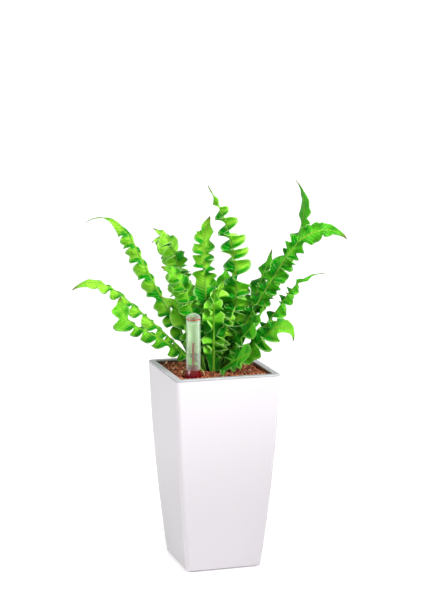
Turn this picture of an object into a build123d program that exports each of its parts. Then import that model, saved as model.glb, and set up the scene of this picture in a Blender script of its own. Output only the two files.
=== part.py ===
from build123d import *
import os
from math import cos, hypot, radians, sin

# Self-watering table planter, planted.  Millimetres, +Z up, base on z = 0,
# the four faces square to X and Y, the centre of the base on the origin.
# Five bodies: shell, lift-out liner, lift-out planting, gauge and its float.

# ---- driving dimensions -------------------------------------------------------
rim_width = 92.0            # across the faces at the top
base_width = 66.6           # across the faces at the bottom
side_bulge = 2.05           # how far each side swells past a straight taper
overall_height = 172.0      # foot to the top of the rim frame
corner_radius = 4.0         # the four upright outside corners
inner_corner = 1.4          # the same corners on every inside face

shell_wall = 3.0
shell_floor = 2.5
foot_height = 1.2           # recessed plinth that leaves a shadow line
foot_inset = 2.5
bottom_rounding = 0.8

frame_thickness = 1.6       # clear flat frame that lies on the shell rim
liner_wall = 1.6
liner_gap = 1.0             # between the shell wall and the liner wall
reservoir_top = 34.4        # underside of the liner floor
well_radius = 9.5           # wick wells that stand in the water
well_offset = 13.0          # their place along X and Y
well_clearance = 1.8        # under the wells
well_hole_radius = 1.8
well_slot_width = 2.2
well_slot_height = 14.0
well_slot_low = 2.0         # above the underside of the well
drain_radius = 1.5
drain_pitch = 9.0
hole_margin = 1.0           # least width left between a small hole and a large one

grid_thickness = 1.2        # perforated plate under the substrate
grid_hole_radius = 1.5
grid_pitch = 6.0

tube_outer = 6.1            # clear gauge head and the sleeve below it
tube_wall = 0.9
shaft_wall = 0.9
shaft_in_collar = 5.0
shaft_slot_width = 1.8
shaft_slot_height = 8.0
shaft_slot_middles = (13.0, 24.0)
foot_plug_height = 2.5
foot_plug_hole = 0.8
foot_plug_ring = 2.4
sleeve_top = 168.5
sleeve_to_wall = 1.6        # sleeve to the liner wall, at the liner floor
gauge_set_back = 3.0        # how much further the gauge is from the front wall
collar_flare = 1.4
collar_height = 7.0
collar_shoulder = 4.0       # height where the flare turns in
collar_spigot = 3.0
head_length = 43.0
seal_thickness = 0.9
seal_inset = 0.3
cap_flange = 1.2
cap_dome = 3.6
cap_spigot = 4.1

float_length = 16.0
float_low = 20.0            # underside of the float at half fill
rod_radius = 1.0
rod_in_float = 8.0
rod_tip = 198.2

soil_level = 168.0
crown_radius = 11.0
crown_height = 11.0
crown_rise = 1.0            # crown above the substrate
root_depth = 78.0
root_top_radius = 21.0
root_low_radius = 18.0

# ---- clearances ----------------------------------------------------------------
soil_gap = 0.3              # substrate to everything in another body
grid_gap = 0.5
shaft_gap = 0.5
shaft_foot_gap = 1.7
float_gap = 0.4
rod_gap = 0.4
collar_gap = 0.3
spigot_gap = 0.1
seal_gap = 0.2

# ---- tied values -----------------------------------------------------------------
shell_height = overall_height - frame_thickness
shell_floor_top = foot_height + shell_floor
liner_outside = shell_wall + liner_gap
liner_inside = liner_outside + liner_wall
liner_floor_top = reservoir_top + liner_wall
well_bottom = shell_floor_top + well_clearance
well_inner = well_radius - liner_wall
wells = [(well_offset, -well_offset), (-well_offset, well_offset)]
tube_inner = tube_outer - tube_wall
shaft_outer = tube_inner - shaft_gap
shaft_inner = shaft_outer - shaft_wall
shaft_bottom = shell_floor_top + shaft_foot_gap
shaft_top = sleeve_top + shaft_in_collar
float_radius = shaft_inner - float_gap
collar_outer = tube_outer + collar_flare
collar_top = sleeve_top + collar_height
head_top = collar_top + head_length
seal_top = head_top + seal_thickness
flange_top = seal_top + cap_flange
crown_top = soil_level + crown_rise
soil_hole = collar_outer + collar_gap


def half_width(height):
    """Half the outside width at a height: a straight taper plus a shallow swell."""
    rise = height / overall_height
    straight = base_width / 2 + (rim_width - base_width) / 2 * rise
    return straight + 4 * side_bulge * rise * (1 - rise)


# the gauge stands in the front left corner, one sleeve wall off the liner side
gauge_x = -(half_width(liner_floor_top) - liner_inside - tube_outer - sleeve_to_wall)
gauge_y = gauge_x + gauge_set_back


def tapered_prism(inset, low, high, corner):
    """Square body that follows the outside curve, a set distance inside it."""
    middle = (low + high) / 2
    low_half = half_width(low) - inset
    middle_half = half_width(middle) - inset
    high_half = half_width(high) - inset
    bottom = Line((-low_half, low), (low_half, low))
    right = ThreePointArc((low_half, low), (middle_half, middle), (high_half, high))
    top = Line((high_half, high), (-high_half, high))
    left = ThreePointArc((-high_half, high), (-middle_half, middle), (-low_half, low))
    profile = Plane.XZ * make_face(Wire([bottom, right, top, left]))
    along_y = extrude(profile, amount=rim_width, both=True)
    block = along_y & (Rotation(0, 0, 90) * along_y)
    tall = 0.9 * (high - low)
    corners = [edge for edge in block.edges() if edge.bounding_box().size.Z > tall]
    return fillet(corners, corner)


def rod(x, y, low, high, radius):
    """Upright cylinder between two heights."""
    return Pos(x, y, low) * extrude(Circle(radius), amount=high - low)


def tube(x, y, low, high, outer, inner):
    """Upright tube between two heights."""
    return rod(x, y, low, high, outer) - rod(x, y, low - 1, high + 1, inner)


def hole_grid(half, pitch, radius, low, high, keep_off):
    """Rows of upright drills inside a square, none near the listed circles."""
    drills = []
    steps = int((half - 2 * radius) // pitch)
    for column in range(-steps, steps + 1):
        for row in range(-steps, steps + 1):
            x = column * pitch
            y = row * pitch
            if all(hypot(x - cx, y - cy) > size + radius + hole_margin for cx, cy, size in keep_off):
                drills.append(rod(x, y, low, high, radius))
    return drills


# ---- outer shell --------------------------------------------------------------------
past = 1.0                  # how far a cut runs past the face it opens
shell_body = tapered_prism(0, foot_height, shell_height, corner_radius)
shell_body = fillet(shell_body.faces().sort_by(Axis.Z)[0].edges(), bottom_rounding)
foot = tapered_prism(foot_inset, 0, foot_height, corner_radius - foot_inset / 2)
cavity = tapered_prism(shell_wall, shell_floor_top, shell_height + past, inner_corner)
outer_shell = shell_body + foot - cavity

# ---- clear rim frame that closes the gap between shell and liner -------------------------
rim_frame = tapered_prism(0, shell_height, overall_height, corner_radius)
rim_frame -= tapered_prism(liner_inside, shell_height - past, overall_height + past, inner_corner)

# ---- liner: a cup whose floor takes two wick wells and the gauge sleeve -------------------
liner = tapered_prism(liner_outside, reservoir_top, shell_height, inner_corner)
liner -= tapered_prism(liner_inside, liner_floor_top, shell_height + past, inner_corner)
liner -= rod(gauge_x, gauge_y, reservoir_top - past, liner_floor_top + past, tube_inner)
for x, y in wells:
    liner -= rod(x, y, reservoir_top - past, liner_floor_top + past, well_inner)
busy_floor = [(x, y, well_radius) for x, y in wells]
busy_floor.append((gauge_x, gauge_y, tube_outer))
liner_half = half_width(liner_floor_top) - liner_inside
for drill in hole_grid(liner_half, drain_pitch, drain_radius,
                       reservoir_top - past, liner_floor_top + past, busy_floor):
    liner -= drill


def wick_well(x, y):
    """Slotted cup that hangs under the liner floor and stands in the water."""
    cup = rod(x, y, well_bottom, reservoir_top, well_radius)
    cup -= rod(x, y, well_bottom + liner_wall, reservoir_top + past, well_inner)
    middle = well_bottom + well_slot_low + well_slot_height / 2
    for turn in range(4):
        slot = Pos(well_radius, 0, middle) * Box(well_radius, well_slot_width, well_slot_height)
        cup -= Pos(x, y, 0) * Rotation(0, 0, 45 + 90 * turn) * slot
    return cup - rod(x, y, well_bottom - past, well_bottom + liner_wall + past, well_hole_radius)


# ---- perforated plate on the liner floor ----------------------------------------------
grid_top = liner_floor_top + grid_thickness
separator_grid = tapered_prism(liner_inside + grid_gap, liner_floor_top, grid_top, inner_corner)
for x, y in wells:
    separator_grid -= rod(x, y, liner_floor_top - past, grid_top + past, well_inner)
separator_grid -= rod(gauge_x, gauge_y, liner_floor_top - past, grid_top + past,
                      tube_outer + grid_gap)
for drill in hole_grid(liner_half - grid_gap, grid_pitch, grid_hole_radius,
                       liner_floor_top - past, grid_top + past, busy_floor):
    separator_grid -= drill

# ---- sleeve that keeps the substrate off the gauge -------------------------------------
fill_sleeve = tube(gauge_x, gauge_y, liner_floor_top, sleeve_top, tube_outer, tube_inner)

# ---- gauge: shaft, foot, collar, clear head, seal and cap --------------------------------
gauge_shaft = tube(gauge_x, gauge_y, shaft_bottom, shaft_top, shaft_outer, shaft_inner)
for turn in range(2):
    for height in shaft_slot_middles:
        slot = Box(3 * shaft_outer, shaft_slot_width, shaft_slot_height)
        gauge_shaft -= Pos(gauge_x, gauge_y, height) * Rotation(0, 0, 45 + 90 * turn) * slot

foot_plug_top = shaft_bottom + foot_plug_height
gauge_foot = rod(gauge_x, gauge_y, shaft_bottom, foot_plug_top, shaft_inner)
for turn in range(4):
    x = gauge_x + foot_plug_ring * cos(radians(90 * turn))
    y = gauge_y + foot_plug_ring * sin(radians(90 * turn))
    gauge_foot -= rod(x, y, shaft_bottom - past, foot_plug_top + past, foot_plug_hole)

collar_bottom_ring = Pos(gauge_x, gauge_y, sleeve_top) * Circle(collar_outer)
collar_middle_ring = (Pos(gauge_x, gauge_y, sleeve_top + collar_shoulder)
                      * Circle(collar_outer - collar_flare / 3))
collar_top_ring = Pos(gauge_x, gauge_y, collar_top) * Circle(tube_outer)
gauge_collar = loft([collar_bottom_ring, collar_middle_ring])
gauge_collar += loft([collar_middle_ring, collar_top_ring])
gauge_collar += rod(gauge_x, gauge_y, collar_top, collar_top + collar_spigot,
                    tube_inner - spigot_gap)
gauge_collar -= rod(gauge_x, gauge_y, sleeve_top - past, shaft_top, shaft_outer)
gauge_collar -= rod(gauge_x, gauge_y, sleeve_top, collar_top + collar_spigot + past,
                    rod_radius + rod_gap)

gauge_head = tube(gauge_x, gauge_y, collar_top, head_top, tube_outer, tube_inner)
cap_seal = tube(gauge_x, gauge_y, head_top, seal_top, tube_outer - seal_inset, tube_inner)

cap_disc = rod(gauge_x, gauge_y, seal_top, flange_top, tube_outer)
dome_radius = (tube_outer ** 2 + cap_dome ** 2) / (2 * cap_dome)
dome = Pos(gauge_x, gauge_y, flange_top + cap_dome - dome_radius) * Sphere(dome_radius)
dome &= rod(gauge_x, gauge_y, flange_top, flange_top + cap_dome + past, tube_outer)
gauge_cap = cap_disc + dome
gauge_cap += rod(gauge_x, gauge_y, seal_top - cap_spigot, seal_top, tube_inner - seal_gap)

# ---- float and the rod that shows the level ---------------------------------------------
float_top = float_low + float_length
rod_low = float_top - rod_in_float
float_body = rod(gauge_x, gauge_y, float_low, float_top, float_radius)
float_body -= rod(gauge_x, gauge_y, rod_low, float_top + past, rod_radius)
float_rod = rod(gauge_x, gauge_y, rod_low, rod_tip, rod_radius)

# ---- substrate, root ball and crown -------------------------------------------------------
root_top = crown_top - crown_height
root_low = root_top - root_depth
root_ball = loft([Pos(0, 0, root_low) * Circle(root_low_radius),
                  Pos(0, 0, root_top) * Circle(root_top_radius)])
crown = rod(0, 0, root_top, crown_top, crown_radius)

soil_low = grid_top + soil_gap
leg_low = well_bottom + liner_wall + soil_gap
substrate = tapered_prism(liner_inside + soil_gap, soil_low, soil_level, inner_corner)
substrate -= rod(gauge_x, gauge_y, soil_low - past, soil_level + past, soil_hole)
substrate -= root_ball
substrate -= crown

# ---- fronds ------------------------------------------------------------------------------
# Each frond grows in its own upright plane.  Degrees and millimetres:
# (bearing, ring on the crown, lean off upright, arch along it, curl of the tip,
#  roll of the blade about its midrib, length, widest half width).
# Bearing 0 is +X, 90 is +Y.
frond_plan = [
    (187, 9.6, 46, 25, -90, 60, 108, 6.5),
    (162, 9.6, 44, 8, 85, 40, 142, 6.0),
    (151, 7.2, 20, 15, 40, 40, 76, 5.0),
    (178, 7.2, 10, 12, 55, 50, 104, 6.0),
    (137, 9.6, 36, -10, 105, 35, 182, 6.5),
    (118, 7.2, 26, -10, 75, 35, 140, 6.5),
    (104, 9.6, 41, -20, 120, 10, 152, 6.5),
    (106, 4.8, 6, 0, -45, 15, 136, 6.5),
    (79, 9.6, 52, 10, 60, 0, 104, 6.5),
    (54, 9.6, 47, 10, 60, -10, 100, 6.5),
    (30, 9.6, 41, -12, -5, -25, 118, 6.5),
    (5, 9.6, 31, -6, -20, -30, 178, 6.5),
    (10, 4.8, 27, -62, 0, -55, 169, 7.5),
    (347, 7.2, 26, 12, 100, -40, 174, 6.5),
    (341, 9.6, 46, -20, 70, -30, 124, 6.0),
    (315, 9.6, 53, -10, 160, -45, 90, 6.0),
    (312, 7.0, 32, 15, -35, -35, 78, 5.5),
    (288, 9.6, 56, 12, 0, -55, 54, 7.5),
    (318, 4.8, 4, 25, 0, -20, 62, 5.0),
    (300, 2.8, 2, 0, 40, 0, 82, 5.0),
    (256, 8.0, 2, 0, 40, 10, 74, 5.0),
    (76, 7.2, 27, 5, 30, 0, 92, 6.0),
    (54, 4.8, 14, 8, 30, 0, 92, 6.0),
]
frond_base_half = 2.0
frond_tip_half = 0.7
frond_base_thick = 0.9
frond_tip_thick = 0.5
curl_start = 0.65           # share of the length where the tip begins to curl
roll_by = 0.4               # share of the length over which the blade rolls
section_count = 10
steps_per_section = 6


def frond_sections(bearing, ring, lean, arch, curl, roll, length, widest):
    """Sections of one frond, from its footprint on the crown to its tip."""
    outward = Vector(cos(radians(bearing)), sin(radians(bearing)), 0)
    across = Vector(-sin(radians(bearing)), cos(radians(bearing)), 0)
    upward = Vector(0, 0, 1)
    place = outward * ring + upward * crown_top
    heading = upward
    count = (section_count - 1) * steps_per_section
    sections = []
    for step in range(count + 1):
        share = step / count
        if step % steps_per_section == 0:
            swell = sin(radians(180 * share ** 0.8)) ** 0.7 if 0 < share < 1 else 0
            fade = frond_base_half + (frond_tip_half - frond_base_half) * share
            half = fade + (widest - fade) * swell
            thick = frond_base_thick + (frond_tip_thick - frond_base_thick) * share
            thin_way = outward if step == 0 else across.cross(heading)
            turned = radians(roll * min(1, share / roll_by))
            wide = across * cos(turned) + thin_way * sin(turned)
            thin = thin_way * cos(turned) - across * sin(turned)
            corners = [place + wide * half, place + thin * thick,
                       place - wide * half, place - thin * thick]
            sections.append(make_face(Polyline(*corners, close=True)))
        curled = max(0, (share - curl_start) / (1 - curl_start)) ** 1.5
        tilt = radians(lean + arch * share + curl * curled)
        heading = outward * sin(tilt) + upward * cos(tilt)
        place = place + heading * (length / count)
    return sections


# ---- parts ---------------------------------------------------------------------------------
pieces = {
    "outer_shell": outer_shell,
    "rim_frame": rim_frame,
    "liner": liner,
    "separator_grid": separator_grid,
    "fill_sleeve": fill_sleeve,
    "substrate": substrate,
    "root_ball": root_ball,
    "crown": crown,
    "gauge_shaft": gauge_shaft,
    "gauge_foot": gauge_foot,
    "gauge_collar": gauge_collar,
    "gauge_head": gauge_head,
    "cap_seal": cap_seal,
    "gauge_cap": gauge_cap,
    "float": float_body,
    "float_rod": float_rod,
}
for number, (x, y) in enumerate(wells, start=1):
    pieces[f"wick_well_{number}"] = wick_well(x, y)
    pieces[f"wick_leg_{number}"] = rod(x, y, leg_low, soil_low, well_inner - soil_gap)
for number, plan in enumerate(frond_plan, start=1):
    pieces[f"frond_{number:02d}"] = loft(frond_sections(*plan), ruled=True)

os.makedirs("parts", exist_ok=True)
for name, shape in pieces.items():
    shape.label = name
    export_step(shape, f"parts/{name}.step")
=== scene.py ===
# %% [markdown]
# Self-watering planter with a crinkled fern.  The CAD model is the frame: it fixes every size, every place
# and every joint.  This script gives each piece its real surface, and replaces the plain solids of the
# plant and the substrate with leaves and grains.  Everything is in metres, in the frame of the CAD model.

# %% Load the CAD frame
from math import cos, pi, radians, sin

import bmesh
import bpy
from mathutils import Matrix, Vector, noise


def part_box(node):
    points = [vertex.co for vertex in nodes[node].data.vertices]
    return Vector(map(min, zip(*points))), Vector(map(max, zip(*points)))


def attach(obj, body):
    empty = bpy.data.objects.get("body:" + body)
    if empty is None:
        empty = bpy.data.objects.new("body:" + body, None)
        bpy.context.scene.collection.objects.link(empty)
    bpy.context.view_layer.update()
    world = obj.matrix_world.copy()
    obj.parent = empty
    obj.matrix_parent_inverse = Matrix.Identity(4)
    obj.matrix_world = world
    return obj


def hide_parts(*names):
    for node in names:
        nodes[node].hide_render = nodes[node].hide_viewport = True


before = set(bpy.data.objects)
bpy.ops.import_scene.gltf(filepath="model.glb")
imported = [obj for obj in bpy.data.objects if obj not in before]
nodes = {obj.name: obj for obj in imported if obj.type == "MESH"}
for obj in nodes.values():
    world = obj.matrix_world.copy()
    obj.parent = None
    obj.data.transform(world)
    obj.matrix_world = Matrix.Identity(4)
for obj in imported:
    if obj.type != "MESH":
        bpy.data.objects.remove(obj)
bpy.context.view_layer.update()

mm = 0.001

# %% [markdown]
# A few small helpers carry the whole script.  A colour is written as the hex value a paint shop would use and
# turned to linear light, because shaders add light and not screen values.  One function adds any node with
# its settings and links; on a Map Range node, inputs 1 and 2 are the range that comes in, 3 and 4 the range
# that goes out.  One function starts a material with a Principled shader.  No real plastic is one flat colour:
# resin flows and cools unevenly.  So one more function clouds two close colours into each other.

# %% Colour and node helpers
def linear(code, strength=1.0):
    """sRGB hex to linear RGBA."""
    channels = [int(code[i:i + 2], 16) / 255 for i in (1, 3, 5)]
    light = [c / 12.92 if c <= 0.04045 else ((c + 0.055) / 1.055) ** 2.4 for c in channels]
    return (*[strength * c for c in light], 1.0)


def add(tree, kind, inputs=None, **settings):
    """A node with its settings; inputs maps a socket's name or number to a value or to another socket."""
    node = tree.nodes.new(kind)
    for name, value in settings.items():
        setattr(node, name, value)
    for name, value in (inputs or {}).items():
        if isinstance(value, bpy.types.NodeSocket):
            tree.links.new(value, node.inputs[name])
        else:
            node.inputs[name].default_value = value
    return node


def start_material(name, **shader):
    """A material with a Principled shader; returns it, its tree and the shader."""
    made = bpy.data.materials.new(name)
    made.use_nodes = True
    tree = made.node_tree
    tree.nodes.clear()
    body = add(tree, "ShaderNodeBsdfPrincipled", {k.replace("_", " "): v for k, v in shader.items()})
    add(tree, "ShaderNodeOutputMaterial", {"Surface": body.outputs[0]})
    return made, tree, body


def clouded(tree, shader, size, first, second):
    """Two close colours in soft clouds of a real size; returns the clouds and the colour."""
    place = add(tree, "ShaderNodeTexCoord")
    clouds = add(tree, "ShaderNodeTexNoise", {"Vector": place.outputs["Object"], "Scale": 1 / size})
    tone = add(tree, "ShaderNodeMix", {0: clouds.outputs[0], 6: first, 7: second}, data_type="RGBA")
    tree.links.new(tone.outputs[2], shader.inputs["Base Color"])
    return clouds.outputs[0], tone.outputs[2]


def link_object(name, data):
    """An object in the scene with the given mesh, lens or light."""
    made = bpy.data.objects.new(name, data)
    bpy.context.scene.collection.objects.link(made)
    return made


def keep_mesh(build, name):
    """Keeps a mesh that was built by hand, and frees the builder."""
    mesh = bpy.data.meshes.new(name)
    build.to_mesh(mesh)
    build.free()
    return mesh


def paint(node, made):
    """Gives a CAD node a better material."""
    mesh = nodes[node].data
    for index in range(len(mesh.materials)):
        mesh.materials[index] = made
    print("painted", node, "with", made.name)


# %% [markdown]
# The camera stands a little to the left of the front face and looks down by ten degrees, as a person sitting
# at the table would.  A long lens keeps the upright edges nearly parallel.

# %% Camera
camera_turn = radians(-16.87)
camera_dip = radians(10.01)
camera_distance = 1672 * mm
aim_height = 90 * mm
aim_right = -2.3 * mm
aim_up = 138.4 * mm

to_camera = Vector((sin(camera_turn) * cos(camera_dip), -cos(camera_turn) * cos(camera_dip), sin(camera_dip)))
camera_right = Vector((cos(camera_turn), sin(camera_turn), 0))
camera_up = to_camera.cross(camera_right)
eye = Vector((0, 0, aim_height)) + to_camera * camera_distance + camera_right * aim_right + camera_up * aim_up
lens = bpy.data.cameras.new("camera")
lens.sensor_width = 36
lens.lens = 115.25
lens.clip_start = 0.01
camera = link_object("camera", lens)
axes = Matrix((camera_right, camera_up, to_camera)).transposed().to_4x4()
camera.matrix_world = Matrix.Translation(eye) @ axes
bpy.context.scene.camera = camera
print("camera at", [round(v, 3) for v in eye])

# %% [markdown]
# The stage is a white table in a white studio, so no horizon shows.  It is lit as a product table is: one soft
# box close above the front, so that its light falls off down the faces, a weak fill from the left, a broad one
# overhead, and a dimmer even surround.  A real studio burns its white background out behind the object.  Here
# the surround and the table do the same: they look brighter to the lens than the light they give.

# %% Floor and surround
floor_half = 4.0
floor_gap = 0.05 * mm       # the floor lies this far under the feet, so the two never share a plane
burn_out = 0.42             # glow of the table at the object, as the lens sees it
burn_far = 0.75             # and away from it
burn_reach = (0.15, 0.9)    # metres from the middle over which it rises
surround_light = 0.45
floor_mesh = bpy.data.meshes.new("floor")
corners = [(-floor_half, -floor_half, 0), (floor_half, -floor_half, 0), (floor_half, floor_half, 0),
           (-floor_half, floor_half, 0)]
floor_mesh.from_pydata([Vector(c) - Vector((0, 0, floor_gap)) for c in corners], [], [(0, 1, 2, 3)])
floor = link_object("floor", floor_mesh)
# satin white table laminate: a broad, weak reflection under the object
laminate, tree, shader = start_material("satin_white_laminate", Roughness=0.22, IOR=1.45)
grain = add(tree, "ShaderNodeTexNoise", {"Scale": 3.0, "Detail": 2.0})
tone = add(tree, "ShaderNodeMix", {0: grain.outputs[0], 6: linear("#f6f6f7"), 7: linear("#f9f9f9")},
           data_type="RGBA")
tree.links.new(tone.outputs[2], shader.inputs["Base Color"])
lens_ray = add(tree, "ShaderNodeLightPath")
place = add(tree, "ShaderNodeTexCoord")
away = add(tree, "ShaderNodeVectorMath", {0: place.outputs["Object"]}, operation="LENGTH")
further = add(tree, "ShaderNodeMapRange", {"Value": away.outputs["Value"], 1: burn_reach[0], 2: burn_reach[1],
              3: burn_out, 4: burn_far})
burn = add(tree, "ShaderNodeMath", {0: lens_ray.outputs["Is Camera Ray"], 1: further.outputs[0]},
           operation="MULTIPLY")
shader.inputs["Emission Color"].default_value = linear("#ffffff")
tree.links.new(burn.outputs[0], shader.inputs["Emission Strength"])
floor_mesh.materials.append(laminate)

world = bpy.data.worlds.new("studio")
world.use_nodes = True
bpy.context.scene.world = world
sky = world.node_tree
sky.nodes.clear()
lens_ray = add(sky, "ShaderNodeLightPath")
bright = add(sky, "ShaderNodeMapRange", {"Value": lens_ray.outputs["Is Camera Ray"], 3: surround_light,
             4: 1.0})
surround = add(sky, "ShaderNodeBackground", {"Color": linear("#ffffff"), "Strength": bright.outputs[0]})
add(sky, "ShaderNodeOutputWorld", {"Surface": surround.outputs[0]})
bpy.context.scene.view_settings.view_transform = "Standard"


def soft_box(name, place, target, width, height, watts, spread):
    """A rectangular studio light that faces a target; a small spread is a box with a grid in front of it."""
    light = bpy.data.lights.new(name, "AREA")
    light.shape = "RECTANGLE"
    light.size = width
    light.size_y = height
    light.energy = watts
    light.spread = radians(spread)
    made = link_object(name, light)
    direction = Vector(target) - Vector(place)
    made.matrix_world = Matrix.Translation(place) @ direction.to_track_quat("-Z", "Y").to_matrix().to_4x4()
    made.visible_camera = False


soft_box("key_front", (0.30, -0.48, 0.62), (0, 0, 0.29), 0.40, 0.30, 0.80, 50)
soft_box("fill_left", (-0.75, -0.10, 0.55), (0, 0, 0.26), 0.5, 0.4, 0.50, 60)
soft_box("top", (0, 0.15, 1.5), (0, 0, 0.15), 1.0, 1.0, 3.0, 180)
print("stage and lights made")

# %% [markdown]
# The shell is ABS, injection moulded in a polished tool and lacquered.  The eye reads it from two things: a
# sharp, weak reflection that runs along the faces, and a very faint ripple in that reflection, the orange peel
# that lacquer leaves.  The shape is the CAD solid, so only its surface is made here.

# %% Gloss white shell
shell_white, tree, shader = start_material("lacquered_white_abs", Roughness=0.12, IOR=1.5)
clouded(tree, shader, 60 * mm, linear("#f1ebf0"), linear("#f4eff4"))
place = add(tree, "ShaderNodeTexCoord")
peel_size = 9 * mm
peel = add(tree, "ShaderNodeTexNoise", {"Vector": place.outputs["Object"], "Scale": 1 / peel_size,
           "Detail": 1.0})
ripple = add(tree, "ShaderNodeBump", {"Strength": 0.03, "Distance": 0.3 * mm, "Height": peel.outputs[0]})
tree.links.new(ripple.outputs[0], shader.inputs["Normal"])
shader.inputs["Coat Weight"].default_value = 0.6
shader.inputs["Coat Roughness"].default_value = 0.04
paint("outer_shell", shell_white)

# %% [markdown]
# The rim frame and the liner are clear styrene with a smoke tint.  Clear plastic shows its edges: light runs
# inside the sheet and leaves at the rounded rims.  A Bevel modifier on the CAD solid would stumble over its
# loose triangles, so the frame is made again: a closed profile with small rounded edges is carried round a
# square with rounded corners.

# %% Rim frame with rounded edges
def rounded_square(half, corner, steps=8):
    """Points round a square with rounded corners, anticlockwise, in the XY plane."""
    points = []
    for quarter in range(4):
        centre_x = (half - corner) * (1 if quarter in (0, 3) else -1)
        centre_y = (half - corner) * (1 if quarter in (0, 1) else -1)
        for step in range(steps + 1):
            turn = radians(90 * (quarter + step / steps))
            points.append((centre_x + corner * cos(turn), centre_y + corner * sin(turn)))
    return points


def carry_round(name, profile, body):
    """A closed profile of (half width, corner radius, height) carried round the square."""
    build = bmesh.new()
    rings = []
    for half, corner, height in profile:
        rings.append([build.verts.new((x, y, height)) for x, y in rounded_square(half, corner)])
    count = len(rings[0])
    for ring, following in zip(rings, rings[1:] + rings[:1]):
        for i in range(count):
            j = (i + 1) % count
            build.faces.new((ring[i], following[i], following[j], ring[j])[::-1])
    bmesh.ops.recalc_face_normals(build, faces=build.faces)
    mesh = keep_mesh(build, name)
    mesh.shade_smooth()
    made = link_object(name, mesh)
    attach(made, body)
    print(name, len(mesh.polygons), "faces")
    return made


styrene_ior = 1.57


def smoke_clear(name, tint, roughness, clearness):
    """Clear styrene: refracts, with a grey tint; moulding ripple keeps the reflection from being perfect."""
    made, tree, shader = start_material(name, Roughness=roughness, IOR=styrene_ior)
    shader.inputs["Transmission Weight"].default_value = clearness
    flow, _ = clouded(tree, shader, 14 * mm, linear(tint), linear(tint, 0.9))
    bump = add(tree, "ShaderNodeBump", {"Strength": 0.04, "Distance": 0.2 * mm, "Height": flow})
    tree.links.new(bump.outputs[0], shader.inputs["Normal"])
    return made


frame_low, frame_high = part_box("rim_frame")
frame_half = frame_high.x
frame_band = 5.6 * mm
edge = 0.45 * mm
outer_corner = 4.0 * mm
inner_corner = 1.4 * mm
inner_half = frame_half - frame_band
profile = []
for centre_half, centre_height, first in ((inner_half + edge, frame_low.z + edge, 180),
                                          (frame_half - edge, frame_low.z + edge, 270),
                                          (frame_half - edge, frame_high.z - edge, 0),
                                          (inner_half + edge, frame_high.z - edge, 90)):
    for step in range(4):
        turn = radians(first + 30 * step)
        half = centre_half + edge * cos(turn)
        share = (half - inner_half) / frame_band
        corner = inner_corner + (outer_corner - inner_corner) * share
        profile.append((half, corner, centre_height + edge * sin(turn)))
rim = carry_round("rim_frame_rounded", profile, "liner")
# looked into from above, the thick frame scatters most of its light, so it is only partly clear
rim.data.materials.append(smoke_clear("smoke_tinted_styrene", "#dfdfe4", 0.10, 0.28))
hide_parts("rim_frame")
cup_clear = smoke_clear("pale_clear_styrene", "#d9dcdf", 0.05, 1.0)
paint("liner", cup_clear)
paint("fill_sleeve", cup_clear)

# %% [markdown]
# Inside, the plate under the substrate and the two wick wells are black polypropylene, moulded in a
# fine-eroded tool, which scatters light into a soft grey sheen.

# %% Dark moulded plastic
dark_pp, tree, shader = start_material("eroded_black_polypropylene", Base_Color=linear("#1e1f21"),
                                       Roughness=0.5, IOR=1.49)
place = add(tree, "ShaderNodeTexCoord")
spark = add(tree, "ShaderNodeTexNoise", {"Vector": place.outputs["Object"], "Scale": 1 / (0.6 * mm),
            "Detail": 3.0})
bump = add(tree, "ShaderNodeBump", {"Strength": 0.25, "Distance": 0.05 * mm, "Height": spark.outputs[0]})
tree.links.new(bump.outputs[0], shader.inputs["Normal"])
for node in ("separator_grid", "wick_well_1", "wick_well_2", "gauge_foot"):
    paint(node, dark_pp)

# %% [markdown]
# The gauge is a clear tube with a domed cap, seated in a ruby collar.  A red-brown rod stands on a foamed
# float and shows the level.  The tube is slightly green at its thick edges, as clear styrene is.

# %% Gauge materials
most_caught = 0.65          # share of the light that an edge-on wall keeps from going straight on


def milky_clear(name, tint, veil):
    """Thin-walled clear plastic with a milky veil: most light goes straight on, and more is caught edge-on."""
    made, tree, shader = start_material(name, Roughness=0.12, IOR=styrene_ior)
    clouded(tree, shader, 8 * mm, linear(tint), linear(tint, 0.9))
    straight = add(tree, "ShaderNodeBsdfTransparent", {"Color": linear("#fbfffa")})
    edge_on = add(tree, "ShaderNodeLayerWeight", {"Blend": 0.35})
    caught = add(tree, "ShaderNodeMapRange", {"Value": edge_on.outputs["Facing"], 3: veil, 4: most_caught})
    walls = add(tree, "ShaderNodeMixShader", {0: caught.outputs[0], 1: straight.outputs[0],
                2: shader.outputs[0]})
    tree.links.new(walls.outputs[0], tree.nodes["Material Output"].inputs["Surface"])
    return made


tube_clear = milky_clear("clear_gauge_styrene", "#f2fbee", 0.05)
for node in ("gauge_head", "gauge_shaft", "gauge_cap"):
    paint(node, tube_clear)

# ruby styrene: dark where the collar is thick, glowing where light comes through its edge
ruby, tree, shader = start_material("ruby_tinted_styrene", Roughness=0.08, IOR=styrene_ior)
shader.inputs["Transmission Weight"].default_value = 0.75
clouded(tree, shader, 5 * mm, linear("#d31a30"), linear("#8c0c1c"))
paint("gauge_collar", ruby)

# silicone: rubbery and dull, with a little dust on it
seal_red, tree, shader = start_material("red_silicone", Roughness=0.45, IOR=1.41)
clouded(tree, shader, 2 * mm, linear("#b9392f"), linear("#a52c26"))
paint("cap_seal", seal_red)

# an opaque moulded rod: a satin streak of light down its length
rod_red, tree, shader = start_material("red_brown_polystyrene", Roughness=0.3, IOR=styrene_ior)
clouded(tree, shader, 4 * mm, linear("#9a3a2a"), linear("#7c2a20"))
paint("float_rod", rod_red)

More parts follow.
